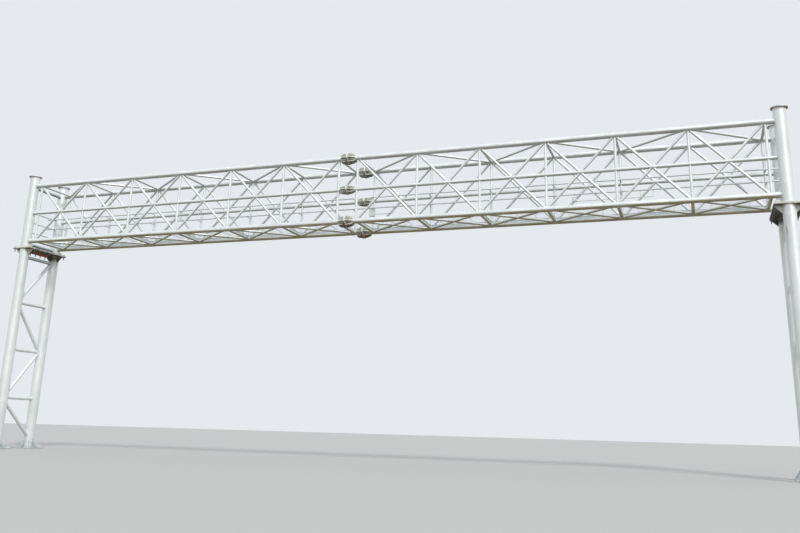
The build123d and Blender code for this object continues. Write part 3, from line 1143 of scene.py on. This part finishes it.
@dataclass
class WalkwayDeck(Assembly):
    """Mesh panels of one half: expanded metal in frames of angle, with flat bars on edge across."""

    hand: Hand
    width: float = 1.251
    depth: float = 0.04
    gap: float = 0.01
    leg_t: float = 0.004
    leg: float = 0.03
    rungs: int = 3
    rung_t: float = 0.005
    rung_drop: float = 0.003
    rung_less: float = 0.008
    mesh_along: float = 0.06
    mesh_across: float = 0.12
    strand: float = 0.003
    sheet_t: float = 0.001
    shortest: float = 0.01

    def build(self) -> Pieces:
        """Builds the panels.

        Returns:
            The deck.
        """
        node = f"{self.hand.label}_walkway_deck"
        shell = Shell(f"{node}_mesh")
        xs, t = np.sort(LAY.points(self.hand)), self.leg_t
        middles, length = (xs[:-1] + xs[1:]) / 2, LAY.bay - self.gap
        inner_length, inner_width = length - 2 * t, self.width - 2 * t
        z, top = LAY.deck_z - self.depth / 2, LAY.deck_z - self.sheet_t
        for way in WAYS:
            edge, side = middles + way * (length - t) / 2, way * (self.width - t) / 2
            blocks(shell, rows(edge, 0, z), [t, self.width, self.depth])
            blocks(shell, rows(middles, side, z), [length, t, self.depth])
            edge = middles + way * (length - self.leg) / 2
            side = way * (self.width - self.leg) / 2
            blocks(shell, rows(edge, 0, top - t / 2), [self.leg, inner_width, t])
            blocks(shell, rows(middles, side, top - t / 2), [inner_length, self.leg, t])
        rungs = (np.arange(self.rungs) + 1) / (self.rungs + 1) * length - length / 2
        x = (middles[:, None] + rungs[None]).ravel()
        blocks(shell, rows(x, 0, z - self.rung_drop),
               [self.rung_t, inner_width, self.depth - self.rung_less])
        self.sheets(shell, middles, inner_length, inner_width, top + self.sheet_t / 2)
        yield placed(shell, Finish.GRATING, Slot.GRATING, node)

    def sheets(self, shell: Shell, middles: Array, length: float, width: float, z: float) -> None:
        """Adds each panel's two families of slanting strands, cut to the panel.

        A strand's line is x = k * mesh_along + way * mesh_along / mesh_across * y, with |x| up to
        length / 2 and |y| up to width / 2. Its section is strand by sheet_t, and the families lie
        a third of sheet_t apart in height.

        Args:
            shell: Where they go.
            middles: X of the panels' middles.
            length: Of the sheet along X.
            width: Of the sheet along Y.
            z: Height of the sheet's middle.
        """
        slope = self.mesh_along / self.mesh_across
        count = int((length / 2 + slope * width / 2) / self.mesh_along)
        k = np.arange(-count, count + 1) * self.mesh_along
        half, lift = self.strand / 2 * math.hypot(1.0, slope), self.sheet_t / 2
        for way in WAYS:
            one, two = (-length / 2 - k) / (way * slope), (length / 2 - k) / (way * slope)
            low = np.clip(np.minimum(one, two), -width / 2, width / 2)
            high = np.clip(np.maximum(one, two), -width / 2, width / 2)
            keep = high - low > self.shortest
            low, high, line = low[keep], high[keep], k[keep]
            corners = [rows(line + way * slope * y + dx, y, z + dz + way * self.sheet_t / 6)
                       for dz in (-lift, lift) for y in (low, high) for dx in (-half, half)]
            points = np.stack(corners, 1)[None] + rows(middles, 0, 0)[:, None, None]
            shell.add(points, [spread(BLOCK_FACES, len(middles) * len(line), 8)])


@dataclass
class Handrail(Assembly):
    """Rails of one half along the walkway and across its end, with their arms."""

    hand: Hand
    radius: float = 0.021
    top_h: float = 0.965
    mid_h: float = 0.615
    end_h: float = 0.275
    overhang: float = 0.25
    top_inner: float = 0.28
    mid_inner: float = 0.005
    arm_width: float = 0.04
    arm_t: float = 0.008
    arm_sunk: float = 0.004
    seat: Seat = replace(ON_COLUMN, inset=0.9 * LAY.column_r, bead=0.005, seam=20, sides=20,
                         welds=(0.0, 1.0), reach=0.05)

    def build(self) -> Pieces:
        """Builds the rails, closed at their tips.

        Returns:
            The handrail.
        """
        node = f"{self.hand.label}_handrail"
        shell = Shell(f"{node}_tubes")
        way, y, d = self.hand.value, LAY.rail_y, LAY.half_depth
        inner = way * np.array([self.top_inner, self.mid_inner])
        heights = LAY.deck_z + np.array([self.top_h, self.mid_h])
        tubes(shell, rows(inner, y, heights),
              rows(way * (LAY.column_x + self.overhang), y, heights), self.radius,
              self.seat.sides, welds=(1.0,))
        ends = np.append(heights, LAY.deck_z + self.end_h)
        x = self.hand.x
        self.seat.join(shell, rows(x, -d, ends), rows(x, d, ends), self.radius)
        reach = d - LAY.web_r - y + self.arm_sunk
        for z in heights:
            blocks(shell, rows(LAY.points(self.hand), y + reach / 2, z),
                   [self.arm_width, reach, self.arm_t])
        yield placed(shell, Finish.WEB, Slot.RAIL, node)


@dataclass(frozen=True)
class BoltKind:
    """Sizes of a bolt: hexagon across its corners, washer, shank and threaded tail.

    The washer is sunk into its plate, and the hexagon sits in the washer at the share seated of
    its height. The chamfers and the root between the tail's ridges are shares too.
    """

    corner_r: float
    head_h: float
    washer_r: float
    washer_t: float
    shank_r: float
    tail: float
    sunk: float = 0.001
    seated: float = 0.9
    chamfer_r: float = 0.97
    chamfer_h: float = 0.12
    ridges: int = 5
    root: float = 0.9

    def head(self) -> tuple[Array, list[Array]]:
        """A washer under a chamfered hexagon head: heights up from the plate."""
        return self.stack(0.0)

    def nut(self) -> tuple[Array, list[Array]]:
        """A washer, a chamfered nut and the bolt's threaded tail."""
        return self.stack(self.tail)

    def stack(self, tail: float) -> tuple[Array, list[Array]]:
        """Washer, hexagon and, if tail is over 0, a ridged stud end, as closed shells.

        Args:
            tail: Metres that the stud stands proud of the nut.

        Returns:
            Points and faces of the three.
        """
        t, h, r = self.washer_t, self.head_h, self.corner_r
        flat, lip = r * math.cos(math.pi / 6) * self.chamfer_r, self.chamfer_h * h
        hexagon = np.array([[flat, t * self.seated], [r, t + lip], [r, t + h - lip],
                            [flat, t + h]])
        parts = [lathe(np.array([[self.washer_r, -self.sunk], [self.washer_r, t]])),
                 lathe(hexagon, 6)]
        if tail > 0:
            step = np.arange(2 * self.ridges)
            radius = self.shank_r * np.where(step % 2, self.root, 1.0)
            z = t + h + np.linspace(0, tail, len(step))
            parts.append(lathe(np.stack([radius, z], 1), sides=16))
        points, faces, count = [], [], 0
        for cloud, groups in parts:
            points.append(cloud)
            faces.extend(group + count for group in groups)
            count += len(cloud)
        return np.concatenate(points), faces


@dataclass
class SpliceBolts(Assembly):
    """Bolts through the flange pairs at mid-span, one between each two ribs."""

    kind: BoltKind = BoltKind(corner_r=0.0208, head_h=0.015, washer_r=0.022, washer_t=0.004,
                              shank_r=0.012, tail=0.012)
    main_r: float = 0.155
    mid_r: float = 0.118
    ribs: int = 8
    turns: tuple[float, float] = (0.4, 0.7)

    def build(self) -> Pieces:
        """Builds heads on one side and nuts on the other.

        Returns:
            The bolts.
        """
        shell = Shell("splice_bolts")
        a, out = angles(self.ribs, 0.5), LAY.splice_t * X_AXIS
        for face in Face:
            for z, radius in ((LAY.bottom_z, self.main_r), (LAY.mid_z, self.mid_r),
                              (LAY.top_z, self.main_r)):
                ring = rows(0, face.y + radius * np.cos(a), z + radius * np.sin(a))
                copies(shell, self.kind.nut(), ring + out, X_AXIS, self.turns[0])
                copies(shell, self.kind.head(), ring - out, -X_AXIS, self.turns[1])
        yield placed(shell, Finish.FASTENER, Slot.PLATE)


@dataclass
class HeadBolts(Assembly):
    """Bolts along the long edges of the head plates: heads above, nuts and long tails below."""

    kind: BoltKind = BoltKind(corner_r=0.0265, head_h=0.019, washer_r=0.028, washer_t=0.005,
                              shank_r=0.015, tail=0.075)
    from_axis: float = 0.315
    places_y: tuple[float, ...] = (-0.85, -0.60, -0.36, -0.12, 0.12, 0.36, 0.60, 0.85)
    top_z: float = 6.75
    bottom_z: float = 6.69
    turns: tuple[float, float] = (0.4, 0.7)

    def build(self) -> Pieces:
        """Builds the bolts of each tower.

        Returns:
            One piece for each tower.
        """
        y = np.tile(self.places_y, 2)
        for hand in Hand:
            shell = Shell(f"{hand.label}_head_bolts")
            x = hand.x + np.repeat(WAYS, len(self.places_y)) * self.from_axis
            copies(shell, self.kind.head(), rows(x, y, self.top_z), Z_AXIS, self.turns[0])
            copies(shell, self.kind.nut(), rows(x, y, self.bottom_z), -Z_AXIS, self.turns[1])
            yield placed(shell, Finish.HEAD_BOLT, Slot.PLATE)


@dataclass
class AnchorNuts(Assembly):
    """Nuts, washers and stud ends over the base plates' holes."""

    kind: BoltKind = BoltKind(corner_r=0.0265, head_h=0.024, washer_r=0.034, washer_t=0.006,
                              shank_r=0.015, tail=0.035)
    radius: float = 0.3
    plate_t: float = 0.03
    count: int = 8
    turn: float = 0.55

    def build(self) -> Pieces:
        """Builds the nuts of each tower.

        Returns:
            One piece for each tower.
        """
        a = angles(self.count, 0.5)
        for hand in Hand:
            shell = Shell(f"{hand.label}_anchor_nuts")
            for face in Face:
                ring = rows(hand.x + self.radius * np.cos(a), face.y + self.radius * np.sin(a),
                            self.plate_t)
                copies(shell, self.kind.nut(), ring, Z_AXIS, self.turn)
            yield placed(shell, Finish.FASTENER, Slot.PLATE)


@dataclass
class ServiceBoxes(Assembly):
    """Two small lidded boxes hung from the right half's middle rail, each with a thin conduit.

    The lid's first two sizes and the door's first and last are shares of the box.
    """

    rail_z: float = 7.6695
    sizes: tuple[Point, ...] = ((0.17, 0.11, 0.25), (0.13, 0.10, 0.12))
    middles: tuple[Point, ...] = ((0.345, 0.50, 7.545), (6.68, 0.50, 7.53))
    lid: Point = (1.08, 1.12, 0.008)
    door: Point = (0.9, 0.006, 0.9)
    catch: Point = (0.012, 0.010, 0.03)
    catch_share: float = 0.36
    bracket: tuple[float, float] = (0.03, 0.004)
    bracket_drop: float = 0.02
    bracket_spare: float = 0.02
    runs: tuple[tuple[float, float], ...] = ((0.42, 1.10), (6.73, 8.90))
    conduit_z: float = 7.47
    conduit_r: float = 0.011
    conduit_out: float = 0.035
    conduit_sides: int = 12
    hanger: tuple[float, float] = (0.02, 0.003)
    hanger_out: float = 0.023
    hanger_spare: float = 0.03
    hanger_pitch: float = 1.20
    hanger_first: float = 0.6
    hanger_clear: float = 0.3
    hanger_last: float = 0.02

    def build(self) -> Pieces:
        """Builds boxes with overhanging lids and doors, conduits and strap hangers.

        Returns:
            The boxes.
        """
        shell = Shell("service_boxes")
        rail_y = LAY.rail_y
        for size, middle, (start, end) in zip(self.sizes, self.middles, self.runs):
            (wide, deep, tall), centre = size, np.array(middle)
            blocks(shell, centre, size)
            blocks(shell, centre + tall / 2 * Z_AXIS,
                   [wide * self.lid[0], deep * self.lid[1], self.lid[2]])
            door = centre - (deep / 2 + self.door[1] / 2) * Y_AXIS
            blocks(shell, door, [wide * self.door[0], self.door[1], tall * self.door[2]])
            blocks(shell, door + [wide * self.catch_share, -self.door[1], 0.0], self.catch)
            out = abs(centre[1] - rail_y) + self.bracket_spare
            blocks(shell, [centre[0], (rail_y + centre[1]) / 2, self.rail_z - self.bracket_drop],
                   [self.bracket[0], out, self.bracket[1]])
            y = rail_y + self.conduit_out
            tubes(shell, [start, y, self.conduit_z], [end, y, self.conduit_z], self.conduit_r,
                  self.conduit_sides, welds=(0.0,))
            first, clear = start + self.hanger_first, end - self.hanger_clear
            x = np.append(np.arange(first, clear, self.hanger_pitch), end - self.hanger_last)
            drop = self.rail_z - self.conduit_z
            blocks(shell, rows(x, rail_y + self.hanger_out, self.rail_z - drop / 2),
                   [*self.hanger, drop + self.hanger_spare])
        yield placed(shell, Finish.WEB, Slot.RAIL)


@dataclass
class ColumnLug(Assembly):
    """A small drilled lug on the outer side of the left front column, level with its top chord."""

    centre: Point = (-12.3775, -0.725, 8.92)
    half_width: float = 0.035
    half_height: float = 0.085
    thickness: float = 0.016
    bore: float = 0.015
    power: float = 4.0
    sides: int = 40

    def build(self) -> Pieces:
        """Builds the lug: its edge is (x/w)^power + (z/h)^power = 1 and its bore a circle.

        Returns:
            The lug.
        """
        a = angles(self.sides)
        edge = ((np.abs(np.cos(a)) / self.half_width) ** self.power
                + (np.abs(np.sin(a)) / self.half_height) ** self.power) ** (-1 / self.power)
        radius = np.stack([edge, edge, edge * 0 + self.bore, edge * 0 + self.bore])[..., None]
        side = np.array([0.5, -0.5, -0.5, 0.5])[:, None, None] * self.thickness
        spoke = rows(np.cos(a), 0, np.sin(a))[None]
        shell = Shell("left_column_lug")
        shell.add(np.array(self.centre) + radius * spoke + side * Y_AXIS,
                  [ring_faces(4, self.sides, closed=True)])
        yield placed(shell, Finish.HEAD_BOLT, Slot.PLATE)


@dataclass
class ColumnWelds(Assembly):
    """Ring beads where the columns meet their plates."""

    levels: tuple[float, ...] = (0.03, 6.69, 6.75, 9.31)
    bead: float = 0.009
    sides: int = 48

    def build(self) -> Pieces:
        """Builds the beads of each tower.

        Returns:
            One piece for each tower.
        """
        for hand in Hand:
            shell = Shell(f"{hand.label}_column_welds")
            centres = [[hand.x, face.y, z] for face in Face for z in self.levels]
            ring_welds(shell, centres, Z_AXIS, LAY.column_r, self.bead, self.sides)
            yield placed(shell, Finish.PLATE, Slot.PLATE)


@dataclass
class SpliceWelds(Assembly):
    """Ring beads where the chords enter their splice flanges."""

    bead: float = 0.006
    sides: int = 32
    proud: float = 0.002

    def build(self) -> Pieces:
        """Builds the beads of both halves.

        Returns:
            The beads.
        """
        shell = Shell("splice_welds")
        for hand in Hand:
            x = hand.value * (LAY.splice_t + self.proud)
            for radius, levels in ((LAY.chord_r, (LAY.bottom_z, LAY.top_z)),
                                   (LAY.mid_r, (LAY.mid_z,))):
                centres = [[x, face.y, z] for face in Face for z in levels]
                ring_welds(shell, centres, X_AXIS, radius, self.bead, self.sides)
        yield placed(shell, Finish.PLATE, Slot.PLATE)


# Studio

@dataclass
class Studio:
    """Pale floor, soft sky and the camera at the photograph's viewing angle."""

    eye: Point = (9.917, -23.263, 0.933)
    yaw: float = -0.3513
    pitch: float = 0.2739
    roll: float = 0.0276
    focal_px: float = 835.65
    centre_px: tuple[float, float] = (398.3, 195.5)
    size_px: tuple[int, int] = (800, 533)
    sensor_mm: float = 36.0
    sees_to: float = 500.0
    sky: Colour = (0.79, 0.815, 0.85)
    sky_light: Colour = (0.93, 0.975, 1.0)
    sky_rise: tuple[float, float] = (-0.1, 0.9)
    sky_strength: tuple[float, float] = (0.50, 0.98)
    floor_half: float = 160.0
    floor_z: float = -0.001
    floor_tone: Colour = (0.45, 0.45, 0.445)
    floor_bounce: Colour = (0.25, 0.22, 0.18)
    key_from: Point = (0.45, -0.60, 0.66)
    key_tone: Colour = (1.0, 0.985, 0.96)
    key_strength: float = 2.1
    key_spread: float = 15.0

    def camera(self) -> None:
        """Aims the camera: forward from yaw and pitch, then rolled about that line."""
        cy, sy = math.cos(self.yaw), math.sin(self.yaw)
        cp, sp = math.cos(self.pitch), math.sin(self.pitch)
        cr, sr = math.cos(self.roll), math.sin(self.roll)
        ahead, right = np.array([sy * cp, cy * cp, sp]), np.array([cy, -sy, 0.0])
        up = np.cross(right, ahead)
        right, up = cr * right + sr * up, cr * up - sr * right
        data = bpy.data.cameras.new("camera")
        width, height = self.size_px
        data.sensor_fit = "HORIZONTAL"
        data.sensor_width = self.sensor_mm
        data.lens = self.focal_px * self.sensor_mm / width
        data.shift_x = (width / 2 - self.centre_px[0]) / width
        data.shift_y = (self.centre_px[1] - height / 2) / width
        data.clip_end = self.sees_to
        view = bpy.data.objects.new("camera", data)
        turned = np.stack([right, up, -ahead, np.array(self.eye)], 1)
        view.matrix_world = Matrix([*turned.tolist(), [0, 0, 0, 1]])
        bpy.context.scene.collection.objects.link(view)
        bpy.context.scene.camera = view

    def floor(self) -> None:
        """Lays a wide pale floor just under the base plates."""
        mesh = bpy.data.meshes.new("floor")
        corners = ((-1, -1), (1, -1), (1, 1), (-1, 1))
        mesh.from_pydata([(x * self.floor_half, y * self.floor_half, self.floor_z)
                          for x, y in corners], [], [(0, 1, 2, 3)])
        s = Paint("floor_paint", metallic=0.0, specular=0.2)
        s.finish(s.mix(s.seen(), self.floor_bounce, self.floor_tone), 0.9)
        mesh.materials.append(s.material)
        piece = bpy.data.objects.new("floor", mesh)
        bpy.context.scene.collection.objects.link(piece)

    def lights(self) -> None:
        """A soft sky that is brighter above, and one broad lamp high in front."""
        world = bpy.data.worlds.new("sky")
        bpy.context.scene.world = world
        world.use_nodes = True
        world.node_tree.nodes.clear()
        s = Sketch(world.node_tree)
        where = s.node("ShaderNodeTexCoord").outputs["Generated"]
        rise = s.read("ShaderNodeSeparateXYZ", "Z", inputs={0: where})
        strength = s.read("ShaderNodeMapRange", "Result", inputs={
            "Value": rise, "From Min": self.sky_rise[0], "From Max": self.sky_rise[1],
            "To Min": self.sky_strength[0], "To Max": self.sky_strength[1]})
        light = s.node("ShaderNodeBackground", inputs={"Color": opaque(self.sky_light),
                                                       "Strength": strength})
        shown = s.node("ShaderNodeBackground", inputs={"Color": opaque(self.sky)})
        blend = s.node("ShaderNodeMixShader", inputs={0: s.seen(), 1: light.outputs[0],
                                                      2: shown.outputs[0]})
        s.node("ShaderNodeOutputWorld", inputs={"Surface": blend.outputs[0]})
        lamp = bpy.data.lights.new("key", "SUN")
        lamp.energy = self.key_strength
        lamp.angle = math.radians(self.key_spread)
        lamp.color = self.key_tone
        holder = bpy.data.objects.new("key", lamp)
        holder.rotation_euler = Vector(self.key_from).to_track_quat("Z", "Y").to_euler()
        bpy.context.scene.collection.objects.link(holder)

    def build(self) -> None:
        """Sets the view transform, camera, floor and lights."""
        bpy.context.scene.view_settings.view_transform = "Standard"
        self.camera()
        self.floor()
        self.lights()


def assemblies() -> Iterator[Assembly]:
    """Every sub-assembly of the gantry, in the order in which they are built.

    Returns:
        Those of the left half, those of the right half, and those of both.
    """
    for hand in Hand:
        yield Chords(hand)
        for face in Face:
            yield FaceWeb(hand, face)
        yield LevelBracing(hand, "top_bracing", LAY.top_z, LAY.web_r, False)
        yield LevelBracing(hand, "floor_bracing", LAY.bottom_z, LAY.strut_r, True)
        yield TowerBracing(hand)
        yield WalkwayDeck(hand)
        yield Handrail(hand)
    for kind in (ColumnTies, SpliceBolts, SpliceWelds, HeadBolts, AnchorNuts, ServiceBoxes,
                 ColumnLug, ColumnWelds):
        yield kind()


def main() -> None:
    """Builds every sub-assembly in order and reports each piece."""
    logging.basicConfig(level=logging.INFO, format="%(name)s %(message)s")
    Studio().build()
    for finish in Finish:
        material_of(finish)
    dress_solids()
    for assembly in assemblies():
        for piece in assembly.build():
            LOG.info("%s: %d faces", piece.name, len(piece.data.polygons))


if __name__ == "__main__":
    main()
